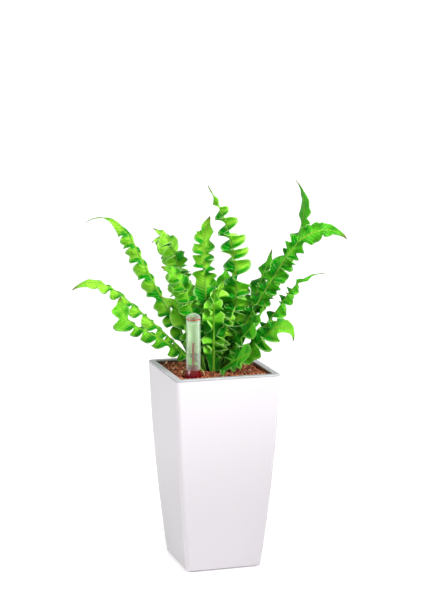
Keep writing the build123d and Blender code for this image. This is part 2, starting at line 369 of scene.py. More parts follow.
# foam moulded from beads: matt, with a net of fine seams between the beads
foam, tree, shader = start_material("foamed_polystyrene", Roughness=0.7, IOR=1.5)
place = add(tree, "ShaderNodeTexCoord")
beads = add(tree, "ShaderNodeTexVoronoi", {"Vector": place.outputs["Object"], "Scale": 1 / (1.6 * mm)})
tone = add(tree, "ShaderNodeMix", {0: beads.outputs[0], 6: linear("#f4f3ee"), 7: linear("#dddbd2")},
           data_type="RGBA")
tree.links.new(tone.outputs[2], shader.inputs["Base Color"])
bump = add(tree, "ShaderNodeBump", {"Strength": 0.4, "Distance": 0.2 * mm, "Height": beads.outputs[0]},
           invert=True)
tree.links.new(bump.outputs[0], shader.inputs["Normal"])
paint("float", foam)

# %% [markdown]
# Behind the rod stands a curved card of milky styrene, against which the rod is read.  It is part of a thin
# tube wall.  Four points, two inside and two outside, are swept round the gauge's axis, which gives a closed
# strip with a real thickness.

# %% Level card
head_low, head_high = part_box("gauge_head")
gauge_axis = ((head_low + head_high) / 2).xy
tube_radius = (head_high.x - head_low.x) / 2
card_radius = tube_radius - 1.25 * mm
card_wall = 0.25 * mm
card_low = head_low.z + 13.5 * mm
card_high = head_high.z - 3.8 * mm


def arc_strip(name, radius, wall, low, high, start, end, steps):
    """A closed strip of tube wall from one bearing to another, in degrees, round the gauge's axis."""
    build = bmesh.new()
    rings = []
    for step in range(steps + 1):
        turn = radians(start + (end - start) * step / steps)
        way = Vector((cos(turn), sin(turn), 0))
        centre = Vector((*gauge_axis, 0))
        section = ((radius, low), (radius, high), (radius - wall, high), (radius - wall, low))
        rings.append([build.verts.new(centre + way * r + Vector((0, 0, z))) for r, z in section])
    for ring, following in zip(rings, rings[1:]):
        for i in range(4):
            j = (i + 1) % 4
            build.faces.new((ring[i], ring[j], following[j], following[i]))
    build.faces.new(rings[0])
    build.faces.new(rings[-1])
    bmesh.ops.recalc_face_normals(build, faces=build.faces)
    return link_object(name, keep_mesh(build, name))


card_from = -30             # bearings in degrees, round the back of the tube
card_to = 168
card = arc_strip("level_card", card_radius, card_wall, card_low, card_high, card_from, card_to, 32)
# milky styrene sheet: bright and soft, it lets about a third of the light through
card_milk, tree, shader = start_material("milky_styrene_card", Roughness=0.5, IOR=styrene_ior)
_, milk = clouded(tree, shader, 5 * mm, linear("#f4ffe9"), linear("#dcf3c6"))
behind = add(tree, "ShaderNodeBsdfTranslucent", {"Color": milk})
card_passes = 0.35
sheet = add(tree, "ShaderNodeMixShader", {0: card_passes, 1: shader.outputs[0], 2: behind.outputs[0]})
tree.links.new(sheet.outputs[0], tree.nodes["Material Output"].inputs["Surface"])
card.data.materials.append(card_milk)
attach(card, "gauge")
print("level card", round((card_high - card_low) / mm, 1), "mm high")

# %% [markdown]
# A Geometry Nodes tree is the right tool for what repeats: one rule, a few named sizes, a seed.  This helper
# starts a tree with its named inputs, and a second one puts it on an object, reads the result as a plain mesh
# and drops the modifier, so that nothing live is left on a piece.

# %% Geometry Nodes helpers
SOCKETS = {"geometry": "NodeSocketGeometry", "size": "NodeSocketFloat", "count": "NodeSocketInt",
           "material": "NodeSocketMaterial", "object": "NodeSocketObject",
           "collection": "NodeSocketCollection"}


def start_tree(name, **inputs):
    """A Geometry Nodes tree with a geometry input and named inputs of the given kinds."""
    tree = bpy.data.node_groups.new(name, "GeometryNodeTree")
    tree.interface.new_socket("Geometry", in_out="OUTPUT", socket_type=SOCKETS["geometry"])
    tree.interface.new_socket("Geometry", in_out="INPUT", socket_type=SOCKETS["geometry"])
    for label, kind in inputs.items():
        tree.interface.new_socket(label, in_out="INPUT", socket_type=SOCKETS[kind])
    return tree, tree.nodes.new("NodeGroupInput").outputs


def end_tree(tree, geometry, made):
    """Realizes the result, gives it its material and ends the tree."""
    real = add(tree, "GeometryNodeRealizeInstances", {0: geometry})
    coloured = add(tree, "GeometryNodeSetMaterial", {"Geometry": real.outputs[0], "Material": made})
    add(tree, "NodeGroupOutput", {0: coloured.outputs[0]})


def grow(source, tree, name, **values):
    """Runs a tree on an object and returns the result as a plain mesh object."""
    modifier = source.modifiers.new(name, "NODES")
    modifier.node_group = tree
    for item in tree.interface.items_tree:
        if item.in_out == "INPUT" and item.name in values:
            modifier[item.identifier] = values[item.name]
    graph = bpy.context.evaluated_depsgraph_get()
    mesh = bpy.data.meshes.new_from_object(source.evaluated_get(graph), depsgraph=graph)
    mesh.name = name
    source.modifiers.remove(modifier)
    bpy.data.objects.remove(source)
    made = link_object(name, mesh)
    print(name, len(mesh.vertices), "vertices", len(mesh.polygons), "faces")
    return made


# %% [markdown]
# The scale printed on the card is a row of equal ticks.  One short arc is made by hand, and the tree sets it
# at an even pitch, so a scale with more or closer ticks is a change of one number.

# %% Ticks on the card
def tick_tree():
    """Repeats a short arc upward at an even pitch."""
    tree, given = start_tree("level_ticks", **{"Pitch": "size", "Count": "count", "Print": "material"})
    rise = add(tree, "ShaderNodeCombineXYZ", {2: given["Pitch"]})
    spots = add(tree, "GeometryNodeMeshLine", {"Count": given["Count"], "Offset": rise.outputs[0]})
    placed = add(tree, "GeometryNodeInstanceOnPoints", {"Points": spots.outputs[0],
                 "Instance": given["Geometry"]})
    end_tree(tree, placed.outputs[0], given["Print"])
    return tree


tick_pitch = 3.4 * mm
tick_low = card_low + 3.0 * mm
tick_height = 0.35 * mm
tick_ink = 0.12 * mm        # drawn far thicker than real ink, so that it shows
tick_radius = card_radius - card_wall + 0.02 * mm
tick_from = 132
tick_to = 158
tick_count = 7
tick = arc_strip("tick", tick_radius, tick_ink, tick_low, tick_low + tick_height, tick_from, tick_to, 6)
ticks = grow(tick, tick_tree(), "level_ticks", **{"Pitch": tick_pitch, "Count": tick_count, "Print": seal_red})
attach(ticks, "gauge")

# %% [markdown]
# The substrate is a planting granulate: grains of expanded clay, pumice and bark, two to four millimetres
# across.  Light falls between loose grains, so the top layer is real grains.  Under them lies a bed with a
# lumpy skin.  It is the CAD solid, rebuilt in even cells and pressed in along the seams between its lumps.

# %% Substrate bed
soil_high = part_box("substrate")[1]
crown_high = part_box("crown")[1]
collar_low, collar_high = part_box("gauge_collar")
collar_radius = (collar_high.x - collar_low.x) / 2


def merged_copy(node, name):
    """A welded copy of a CAD node's mesh, because that mesh is loose triangles."""
    build = bmesh.new()
    build.from_mesh(nodes[node].data)
    bmesh.ops.remove_doubles(build, verts=build.verts, dist=0.001 * mm)
    return link_object(name, keep_mesh(build, name))


def lumpy_tree():
    """Presses a skin in towards the edges of its cells, so that lumps stand between them."""
    tree, given = start_tree("lumpy_bed", **{"Press": "size", "Grain": "size", "Skin": "material"})
    place = add(tree, "GeometryNodeInputPosition").outputs[0]
    facing = add(tree, "GeometryNodeInputNormal").outputs[0]
    cells = add(tree, "ShaderNodeTexVoronoi", {"Vector": place, "Scale": given["Grain"]})
    deep = add(tree, "ShaderNodeMath", {0: cells.outputs["Distance"], 1: given["Press"]}, operation="MULTIPLY")
    inward = add(tree, "ShaderNodeVectorMath", {0: facing, "Scale": deep.outputs[0]}, operation="SCALE")
    moved = add(tree, "GeometryNodeSetPosition", {"Geometry": given["Geometry"], "Offset": inward.outputs[0]})
    smooth = add(tree, "GeometryNodeSetShadeSmooth", {"Geometry": moved.outputs[0]})
    end_tree(tree, smooth.outputs[0], given["Skin"])
    return tree


grain_size = 3.0 * mm


def granulate(name, dark, mid, light, pale):
    """Mixed grains: each cell or grain has its own colour out of four, dusty and rough."""
    made, tree, shader = start_material(name, Roughness=0.85, IOR=1.5)
    place = add(tree, "ShaderNodeTexCoord")
    own = add(tree, "ShaderNodeAttribute", attribute_name="grain_tone")
    cells = add(tree, "ShaderNodeTexVoronoi", {"Vector": place.outputs["Object"], "Scale": 1 / grain_size})
    cell = add(tree, "ShaderNodeSeparateColor", {0: cells.outputs["Color"]})
    pick = add(tree, "ShaderNodeMath", {0: own.outputs["Fac"], 1: cell.outputs[0]}, operation="ADD")
    wrap = add(tree, "ShaderNodeMath", {0: pick.outputs[0]}, operation="FRACT")
    ramp = add(tree, "ShaderNodeValToRGB", {0: wrap.outputs[0]})
    ramp.color_ramp.interpolation = "CONSTANT"
    stops = ramp.color_ramp.elements
    stops[0].color = linear(dark)
    stops[1].position = 0.44
    stops[1].color = linear(mid)
    for at, colour in ((0.76, light), (0.93, pale)):
        stops.new(at).color = linear(colour)
    dust = add(tree, "ShaderNodeTexNoise", {"Vector": place.outputs["Object"], "Scale": 1 / (0.8 * mm),
               "Detail": 4.0})
    shade = add(tree, "ShaderNodeMapRange", {"Value": dust.outputs[0], 1: 0.3, 2: 0.7, 3: 0.6, 4: 1.15})
    toned = add(tree, "ShaderNodeVectorMath", {0: ramp.outputs[0], "Scale": shade.outputs[0]},
                operation="SCALE")
    tree.links.new(toned.outputs[0], shader.inputs["Base Color"])
    bump = add(tree, "ShaderNodeBump", {"Strength": 0.6, "Distance": 0.3 * mm, "Height": dust.outputs[0]})
    tree.links.new(bump.outputs[0], shader.inputs["Normal"])
    return made


soil_mix = granulate("planting_granulate", "#7e3c24", "#b8623e", "#cf8858", "#e8c092")
peat_mix = granulate("rooted_peat", "#1c120b", "#3a2718", "#5b4128", "#a08a66")
lumpy = lumpy_tree()
press = -2.2 * mm           # how far the skin is pressed in between two lumps


def lumpy_copy(node, name, voxel, skin):
    """A CAD solid rebuilt in even cells, with a lumpy skin, in place of the plain one."""
    bed = merged_copy(node, node + "_welded")
    even = bed.modifiers.new("even", "REMESH")
    even.mode = "VOXEL"
    even.voxel_size = voxel
    bed = grow(bed, lumpy, name, **{"Press": press, "Grain": 1 / grain_size, "Skin": skin})
    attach(bed, "planting")
    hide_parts(node)


lumpy_copy("substrate", "substrate_bed", 2.2 * mm, soil_mix)
lumpy_copy("wick_leg_1", "wick_leg_1_bed", 1.2 * mm, soil_mix)
lumpy_copy("wick_leg_2", "wick_leg_2_bed", 1.2 * mm, soil_mix)
lumpy_copy("root_ball", "root_ball_bed", 1.6 * mm, peat_mix)

# %% [markdown]
# Loose grains could be dropped by a physics run, but a few thousand take minutes and end up looking random
# anyway.  So they are scattered: points at an even spacing on a gently lumpy surface, and a grain on each.  A
# grain is a small block with knocked corners; five shapes, turned and sized at random, are enough for the eye.

# %% Loose grains on top
def grain_shape(name, seed):
    """A block with knocked corners, one unit across, of twenty faces."""
    build = bmesh.new()
    bmesh.ops.create_icosphere(build, subdivisions=1, radius=0.5)
    stretch = (1.15, 0.95, 0.8)
    for corner in build.verts:
        knock = noise.noise(corner.co * 2.7 + Vector((seed, seed * 2, 0)))
        corner.co = Vector([c * k for c, k in zip(corner.co, stretch)]) * (1 + 0.45 * knock)
    return bpy.data.objects.new(name, keep_mesh(build, name))


grains = bpy.data.collections.new("grain_shapes")
for number in range(5):
    grains.objects.link(grain_shape(f"grain_{number}", 3.1 * number))


def scatter_tree():
    """Scatters grains over a surface at an even spacing, each turned, sized and toned at random."""
    tree, given = start_tree("scattered_grains", **{"Spacing": "size", "Smallest": "size", "Largest": "size",
                             "Seed": "count", "Shapes": "collection", "Skin": "material"})
    dots = add(tree, "GeometryNodeDistributePointsOnFaces", {"Mesh": given["Geometry"],
               "Distance Min": given["Spacing"], "Density Max": 600000.0, "Seed": given["Seed"]},
               distribute_method="POISSON")
    shapes = add(tree, "GeometryNodeCollectionInfo", {"Collection": given["Shapes"], "Separate Children": True,
                 "Reset Children": True})
    which = add(tree, "FunctionNodeRandomValue", {4: 0, 5: 4, "Seed": 3}, data_type="INT")
    turn = add(tree, "FunctionNodeRandomValue", {1: (2 * pi, 2 * pi, 2 * pi), "Seed": 5},
               data_type="FLOAT_VECTOR")
    size = add(tree, "FunctionNodeRandomValue", {2: given["Smallest"], 3: given["Largest"], "Seed": 7})
    tone = add(tree, "FunctionNodeRandomValue", {2: 0.0, 3: 1.0, "Seed": 9})
    toned = add(tree, "GeometryNodeStoreNamedAttribute", {"Geometry": dots.outputs[0], "Name": "grain_tone",
                "Value": tone.outputs[1]}, data_type="FLOAT", domain="POINT")
    placed = add(tree, "GeometryNodeInstanceOnPoints", {"Points": toned.outputs[0],
                 "Instance": shapes.outputs[0], "Pick Instance": True, "Instance Index": which.outputs[2],
                 "Rotation": turn.outputs[0], "Scale": size.outputs[1]})
    smooth = add(tree, "GeometryNodeSetShadeSmooth", {"Geometry": placed.outputs[0], "Shade Smooth": False})
    end_tree(tree, smooth.outputs[0], given["Skin"])
    return tree


def ground(name, height, clear_edge, lump):
    """The lumpy surface that grains lie on: a square with openings for the collar and the crown."""
    build = bmesh.new()
    half = soil_high.x - clear_edge
    bmesh.ops.create_grid(build, x_segments=60, y_segments=60, size=half)
    for corner in build.verts:
        rise = lump * noise.noise(corner.co * 70 + Vector((4, 2, 7)))   # lumps about 14 mm apart
        mound = mound_height * max(0, 1 - (corner.co.xy - mound_at).length / mound_radius)
        corner.co.z = height + rise + mound
    crown_reach = crown_high.x - 1.5 * mm
    gone = [f for f in build.faces
            if (f.calc_center_median().xy - gauge_axis).length < collar_radius + collar_gap
            or f.calc_center_median().xy.length < crown_reach]
    bmesh.ops.delete(build, geom=gone, context="FACES")
    return link_object(name, keep_mesh(build, name))


mound_at = Vector((2 * mm, -20 * mm))
mound_radius = 16 * mm
mound_height = 1.2 * mm
collar_gap = 2.5 * mm       # room to lift the gauge out past the grains
scatter = scatter_tree()
wall_gap = 1.9 * mm
lump_height = 0.8 * mm
# name, height over the substrate, spacing, smallest and largest grain, seed
layers = (("grains_under", -0.4 * mm, 2.3 * mm, 2.6 * mm, 4.2 * mm, 11),
          ("grains_top", 1.0 * mm, 2.9 * mm, 2.0 * mm, 3.8 * mm, 23))
for name, height, spacing, small, large, seed in layers:
    base = ground(name + "_ground", soil_high.z + height, wall_gap, lump_height)
    layer = grow(base, scatter, name, **{"Spacing": spacing, "Smallest": small, "Largest": large,
                                         "Seed": seed, "Shapes": grains, "Skin": soil_mix})
    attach(layer, "planting")

# %% [markdown]
# The fronds rise from a short stem, the crown, which is wrapped in the stubs of older fronds and in brown,
# pointed scales.  A low dome is the core; one scale is repeated over it along a spiral, as leaves really are
# set round a stem, each leaning outward and of its own size.

# %% Crown
def scale_shape():
    """One pointed scale, a unit long, curved outward and closed all round."""
    build = bmesh.new()
    widths = (0.26, 0.34, 0.30, 0.18, 0.04)
    rows = []
    for step, half in enumerate(widths):
        share = step / (len(widths) - 1)
        rows.append([build.verts.new((x, 0.35 * share ** 2 + y, share))
                     for x, y in ((-half, 0.0), (0, 0.07), (half, 0.0), (0, -0.05))])
    for row, following in zip(rows, rows[1:]):
        for i in range(4):
            j = (i + 1) % 4
            build.faces.new((row[i], row[j], following[j], following[i]))
    build.faces.new(rows[0])
    build.faces.new(rows[-1])
    bmesh.ops.recalc_face_normals(build, faces=build.faces)
    return bpy.data.objects.new("crown_scale", keep_mesh(build, "crown_scale"))


def scale_tree():
    """Sets a scale on every point, turned as stored there."""
    tree, given = start_tree("crown_scales", **{"Scale Shape": "object", "Smallest": "size", "Largest": "size",
                             "Skin": "material"})
    shape = add(tree, "GeometryNodeObjectInfo", {"Object": given["Scale Shape"]})
    turn = add(tree, "GeometryNodeInputNamedAttribute", {"Name": "turn"}, data_type="FLOAT_VECTOR")
    size = add(tree, "FunctionNodeRandomValue", {2: given["Smallest"], 3: given["Largest"], "Seed": 4})
    placed = add(tree, "GeometryNodeInstanceOnPoints", {"Points": given["Geometry"],
                 "Instance": shape.outputs["Geometry"], "Rotation": turn.outputs[0], "Scale": size.outputs[1]})
    end_tree(tree, placed.outputs[0], given["Skin"])
    return tree


crown_radius = crown_high.x
scale_count = 90
golden_angle = radians(137.5)
spots = bpy.data.meshes.new("crown_spots")
places, turns = [], []
for number in range(scale_count):
    share = (number + 0.5) / scale_count
    bearing = number * golden_angle
    reach = (crown_radius - 1.5 * mm) * share ** 0.5
    height = crown_high.z - 2.2 * mm - 3.0 * mm * share
    places.append((reach * cos(bearing), reach * sin(bearing), height))
    turns.extend((-(0.15 + 0.55 * share), 0.0, bearing - pi / 2))
spots.from_pydata(places, [], [])
spots.attributes.new("turn", "FLOAT_VECTOR", "POINT").data.foreach_set("vector", turns)
spot_object = link_object("crown_spots", spots)
crown_skin = granulate("scaly_fern_crown", "#2c2a10", "#4a5a18", "#6f7f2a", "#8a7440")
scales = grow(spot_object, scale_tree(), "crown_scales", **{"Scale Shape": scale_shape(), "Smallest": 4.0 * mm,
                                                          "Largest": 6.5 * mm, "Skin": crown_skin})
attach(scales, "planting")
lumpy_copy("crown", "crown_core", 0.8 * mm, crown_skin)

# %% [markdown]
# The leaves are those of a crinkled bird's-nest fern.  A frond is a strap with one stiff midrib.  Its margin
# grows longer than its middle, so the blade has to buckle: it stands in waves that are flat at the midrib and
# deepest at the edge.  That is a rule, so one Geometry Nodes tree makes every frond: a flat grid is laid along
# the midrib curve, widened by an outline curve and buckled by a sine whose phase wanders.

# %% Midrib curves
# bearing, ring on the crown, lean, arch, curl of the tip, roll of the blade, length and half width, close to
# those of the plain CAD blades; then the swing of the waves, the fold of the two halves and the twist along
# the midrib in degrees, the length of a wave in millimetres, the share of its width that the far half has, how
# much the blade swells again before its tip, and how calm it is near its tip
frond_plan = [
    (187, 9.6, 46, 25, -90, 60, 108, 5.2, 46, 10, -10, 12, 0.3, 0.9, 0.3),
    (162, 9.6, 44, 8, 85, 42, 142, 4.8, 48, 10, -15, 12, 0.3, 0.3, 0.8),
    (151, 7.2, 20, 15, 40, 40, 76, 5.5, 40, -10, 0, 12, 1.0, 0.0, 0.0),
    (178, 7.2, 10, 12, 55, 50, 104, 6.0, 70, -4, 20, 11, 1.0, 0.2, 0.0),
    (137, 9.6, 36, -10, 105, 45, 182, 6.6, 50, 12, -10, 16, 0.3, -0.4, 0.5),
    (118, 7.2, 26, -10, 75, 35, 140, 6.6, 66, -4, -30, 13, 1.0, 0.1, 0.0),
    (104, 9.6, 41, -20, 120, 10, 152, 6.8, 66, -4, 30, 14, 1.0, 0.1, 0.0),
    (106, 4.8, 6, 0, -45, 15, 136, 6.4, 66, -5, 10, 14, 1.0, 0.2, 0.0),
    (79, 9.6, 52, 10, 60, 0, 104, 6.5, 44, 8, 0, 14, 1.0, 0.0, 0.0),
    (54, 9.6, 47, 10, 60, -10, 100, 6.5, 44, 8, 0, 14, 1.0, 0.0, 0.0),
    (30, 9.6, 41, -12, -5, -25, 118, 6.5, 46, 10, 20, 13, 0.7, 0.0, 0.0),
    (5, 9.6, 31, 2, -75, -30, 184, 5.0, 46, 8, 40, 14, 0.8, 0.8, 0.9),
    (10, 4.8, 27, -62, 0, -55, 169, 7.4, 60, -6, 60, 14, 1.0, 0.0, 0.0),
    (347, 7.2, 26, 12, 104, -40, 176, 6.2, 66, -4, -30, 15, 1.0, 0.15, 0.3),
    (341, 9.6, 46, -20, 70, -30, 124, 6.0, 46, 10, 30, 13, 0.8, 0.0, 0.5),
    (315, 9.6, 53, -10, 160, -45, 90, 7.0, 40, -6, 0, 15, 1.0, -0.1, 0.9),
    (312, 7.0, 32, 15, -35, -35, 78, 7.6, 24, -6, 0, 16, 1.0, 0.0, 0.4),
    (288, 9.6, 56, 12, 0, -55, 54, 7.6, 14, -8, 0, 16, 1.0, 0.2, 0.5),
    (318, 4.8, 4, 25, 0, -20, 62, 6.2, 40, -6, 0, 14, 1.0, 0.0, 0.0),
    (300, 2.8, 2, 0, 40, 0, 82, 7.4, 30, -6, 0, 15, 1.0, 0.0, 0.0),
    (256, 8.0, 2, 0, 40, 10, 74, 6.2, 42, -6, 0, 14, 1.0, 0.0, 0.0),
    (76, 7.2, 27, 5, 30, 0, 92, 6.5, 44, -6, 0, 14, 1.0, 0.0, 0.0),
    (54, 4.8, 14, 8, 30, 0, 92, 6.5, 44, -6, 0, 14, 1.0, 0.0, 0.0),
]
curl_start = 0.65
roll_by = 0.4
midrib_points = 64


def midrib(name, bearing, ring, lean, arch, curl, roll, length, twist):
    """The midrib of one frond as a line of points that store the blade's sideways direction."""
    outward = Vector((cos(radians(bearing)), sin(radians(bearing)), 0))
    across = Vector((-sin(radians(bearing)), cos(radians(bearing)), 0))
    upward = Vector((0, 0, 1))
    point = outward * ring * mm + Vector((0, 0, crown_high.z))
    places, sideways = [], []
    for step in range(midrib_points):
        share = step / (midrib_points - 1)
        curled = max(0, (share - curl_start) / (1 - curl_start)) ** 1.5
        tilt = radians(lean + arch * share + curl * curled)
        heading = outward * sin(tilt) + upward * cos(tilt)
        turned = radians(roll * min(1, share / roll_by) + twist * share)
        places.append(point.copy())
        sideways.append(across * cos(turned) + across.cross(heading) * sin(turned))
        point = point + heading * (length * mm / (midrib_points - 1))
    line = bpy.data.meshes.new(name)
    line.from_pydata(places, [(i, i + 1) for i in range(midrib_points - 1)], [])
    stored = line.attributes.new("across", "FLOAT_VECTOR", "POINT")
    stored.data.foreach_set("vector", [v for p in sideways for v in p])
    return link_object(name, line)


print(len(frond_plan), "fronds planned, the longest", max(row[6] for row in frond_plan), "mm")

# %% [markdown]
# The blade starts as a flat grid, one unit long and one wide.  Its own two directions give the share of the
# length that a point has reached and the side of the midrib it lies on, and every width, wave and fold is
# worked out from those two.  That takes some fifty small sums, so they are written as a sheet: each row names
# its result and says what is done to which earlier results, and a loop adds the node for it.

# %% The blade tree
outlines = {
    # half width along the blade, the swelling before the tip, and how free the margin is to wave
    "outline": [(0, 0.3), (0.1, 0.5), (0.28, 0.85), (0.5, 1.0), (0.74, 0.88), (0.86, 0.58), (0.94, 0.2),
                (1, 0.03)],
    "swell": [(0, 0), (0.66, 0), (0.77, 0.3), (0.87, 1.0), (0.94, 0.6), (1, 0)],
    "steady": [(0, 0.0), (0.1, 0.12), (0.28, 0.85), (0.45, 1.0), (0.76, 0.95), (0.9, 0.4), (1, 0.05)],
}
first_sums = [
    ("share", "ADD", "grid x", 0.5),
    ("side", "MULTIPLY", "grid y", 2.0),
    ("out", "ABSOLUTE", "side"),
    ("left", "SIGN", "side"),
    ("uv across", "MULTIPLY_ADD", "side", 0.5, 0.5),
    # where the two wandering noises are read; the halves of a blade wander apart
    ("drift seed", "MULTIPLY_ADD", "left", 7.0, "Seed"),
    ("drift at", "MULTIPLY_ADD", "share", 3.0, "drift seed"),
    ("strength seed", "MULTIPLY_ADD", "left", 3.0, "Seed"),
    ("strength at", "MULTIPLY_ADD", "share", 8.0, "strength seed"),
]
blade_sums = [
    # the phase of the wave: turns along the blade, wandering a little, later towards the margin
    ("run", "MULTIPLY", "share", "length"),
    ("even turns", "DIVIDE", "run", "Wave Length"),
    ("turns", "MULTIPLY_ADD", "drift", 2.2, "even turns"),
    ("whole phase", "MULTIPLY", "turns", 2 * pi),
    ("lag", "MULTIPLY", "out", 0.9),
    ("phase", "SUBTRACT", "whole phase", "lag"),
    ("crest", "SINE", "phase"),
    # how far it swings: less near the crown and at a calm tip, more towards the margin
    ("awake", "SUBTRACT", 1.0, "near tip"),
    ("calm", "MULTIPLY", "steady", "awake"),
    ("liveliness", "MULTIPLY_ADD", "strength", 0.9, 0.55),
    ("lively", "MULTIPLY", "calm", "liveliness"),
    ("spread", "POWER", "out", 0.45),
    ("depth", "MULTIPLY", "lively", "spread"),
    # a small quick ripple rides on the wave
    ("quick phase", "MULTIPLY", "phase", 2.3),
    ("quick", "SINE", "quick phase"),
    ("ripple", "MULTIPLY", "quick", 0.16),
    ("shape", "MULTIPLY_ADD", "ripple", "out", "crest"),
    ("wave", "MULTIPLY", "shape", "depth"),
    ("angle", "MULTIPLY_ADD", "wave", "Swing", "Fold"),
    # the width of this half, with lobes where the crests are
    ("swollen", "MULTIPLY_ADD", "swell", "Tip Swell", "outline"),
    ("own half", "MULTIPLY", "Half Width", "far"),
    ("half", "MULTIPLY", "own half", "swollen"),
    ("lobe", "MULTIPLY", "calm", 0.14),
    ("lobes", "MULTIPLY_ADD", "crest", "lobe", 0.94),
    ("width", "MULTIPLY", "half", "lobes"),
    # sideways, upward and to and fro along the blade
    ("level", "COSINE", "angle"),
    ("sideways", "MULTIPLY", "side", "width"),
    ("reach", "MULTIPLY", "sideways", "level"),
    ("steep", "SINE", "angle"),
    ("outward", "MULTIPLY", "out", "width"),
    ("lift", "MULTIPLY", "outward", "steep"),
    ("to and fro", "COSINE", "phase"),
    ("stride", "MULTIPLY", "Wave Length", -0.11),
    ("shift", "MULTIPLY", "to and fro", "stride"),
    ("calm shift", "MULTIPLY", "shift", "calm"),
    ("at margin", "POWER", "out", 1.5),
    ("flounce", "MULTIPLY", "calm shift", "at margin"),
    # the flank of a wave, kept for the leaf's colour: painted light on one side of each wave, painted shade on
    # the other
    ("late phase", "SUBTRACT", "phase", 0.9),
    ("slope", "SINE", "late phase"),
    ("flank", "MULTIPLY", "slope", "depth"),
]
surface_sums = [
    ("square", "CROSS_PRODUCT", "across", "along"),
    ("face", "NORMALIZE", "square"),
    ("flat place", "MULTIPLY_ADD", "across", "reach", "centre"),
    ("raised place", "MULTIPLY_ADD", "face", "lift", "flat place"),
    ("surface", "MULTIPLY_ADD", "along", "flounce", "raised place"),
]
print(len(first_sums) + len(blade_sums) + len(surface_sums), "sums on the sheet")


# %% Lay the blade
def blade_tree():
    """Lays a grid along the midrib, widens it and swings its two halves in waves."""
    tree, given = start_tree("crinkled_blade", **{
        "Half Width": "size", "Far Half": "size", "Tip Swell": "size", "Swing": "size", "Fold": "size",
        "Wave Length": "size", "Calm Tip": "size", "Thickness": "size", "Seed": "size", "Leaf": "material"})
    known = {socket.name: socket for socket in given}

    def work_out(kind, sums):
        """Adds a node of the given kind for each row: its result's name, what is done, and to what."""
        for name, operation, *terms in sums:
            inputs = {i: known.get(term, term) for i, term in enumerate(terms)}
            known[name] = add(tree, kind, inputs, operation=operation).outputs[0]

    line = add(tree, "GeometryNodeMeshToCurve", {0: given["Geometry"]}).outputs[0]
    known["length"] = add(tree, "GeometryNodeCurveLength", {0: line}).outputs[0]
    grid = add(tree, "GeometryNodeMeshGrid", {"Size X": 1.0, "Size Y": 1.0, "Vertices X": 200,
               "Vertices Y": 17})
    spot = add(tree, "ShaderNodeSeparateXYZ", {0: add(tree, "GeometryNodeInputPosition").outputs[0]})
    known.update({"grid x": spot.outputs["X"], "grid y": spot.outputs["Y"]})
    work_out("ShaderNodeMath", first_sums)
    share = known["share"]
    for name in ("drift", "strength"):
        wander = add(tree, "ShaderNodeTexNoise", {"W": known[name + " at"], "Scale": 1.0, "Detail": 1.0},
                     noise_dimensions="1D")
        known[name] = wander.outputs[0]
    for name, points in outlines.items():
        drawn = add(tree, "ShaderNodeFloatCurve", {"Value": share})
        curve = drawn.mapping.curves[0]
        for at, height in points[1:-1]:
            curve.points.new(at, height)
        curve.points[0].location = points[0]
        curve.points[len(points) - 1].location = points[-1]
        drawn.mapping.update()
        known[name] = drawn.outputs[0]

    # a calm tip: from seven tenths of the length on, the waves die down by the given share
    near_tip = add(tree, "ShaderNodeMapRange", {"Value": share, 1: 0.7, 2: 0.84, 3: 0.0, 4: given["Calm Tip"]})
    # the far half may be narrower, but at the tip both halves have their whole width
    whole_tip = add(tree, "ShaderNodeMapRange", {"Value": share, 1: 0.78, 2: 0.88, 3: given["Far Half"],
                    4: 1.0})
    far = add(tree, "ShaderNodeMapRange", {"Value": known["left"], 1: -1.0, 2: 1.0, 3: whole_tip.outputs[0],
              4: 1.0})
    known.update({"near tip": near_tip.outputs[0], "far": far.outputs[0]})
    work_out("ShaderNodeMath", blade_sums)

    stored = add(tree, "GeometryNodeInputNamedAttribute", {"Name": "across"}, data_type="FLOAT_VECTOR")
    rib = add(tree, "GeometryNodeSampleCurve", {"Curves": line, "Factor": share,
              "Value": stored.outputs[0]}, mode="FACTOR", data_type="FLOAT_VECTOR")
    known.update({"across": rib.outputs["Value"], "centre": rib.outputs["Position"],
                  "along": rib.outputs["Tangent"]})
    work_out("ShaderNodeVectorMath", surface_sums)

    # both are kept before the grid is laid, while its points still tell where they are on the blade
    # the painted light and shade of the waves' flanks is stored here for the leaf's colour
    toned = add(tree, "GeometryNodeStoreNamedAttribute", {"Geometry": grid.outputs["Mesh"], "Name": "flank",
                "Value": known["flank"]}, data_type="FLOAT", domain="POINT")
    place = add(tree, "ShaderNodeCombineXYZ", {0: share, 1: known["uv across"]})
    mapped = add(tree, "GeometryNodeStoreNamedAttribute", {"Geometry": toned.outputs[0], "Name": "UVMap",
                 "Value": place.outputs[0]}, data_type="FLOAT2", domain="CORNER")
    laid = add(tree, "GeometryNodeSetPosition", {"Geometry": mapped.outputs[0],
               "Position": known["surface"]})
    return tree, given, line, laid.outputs[0]


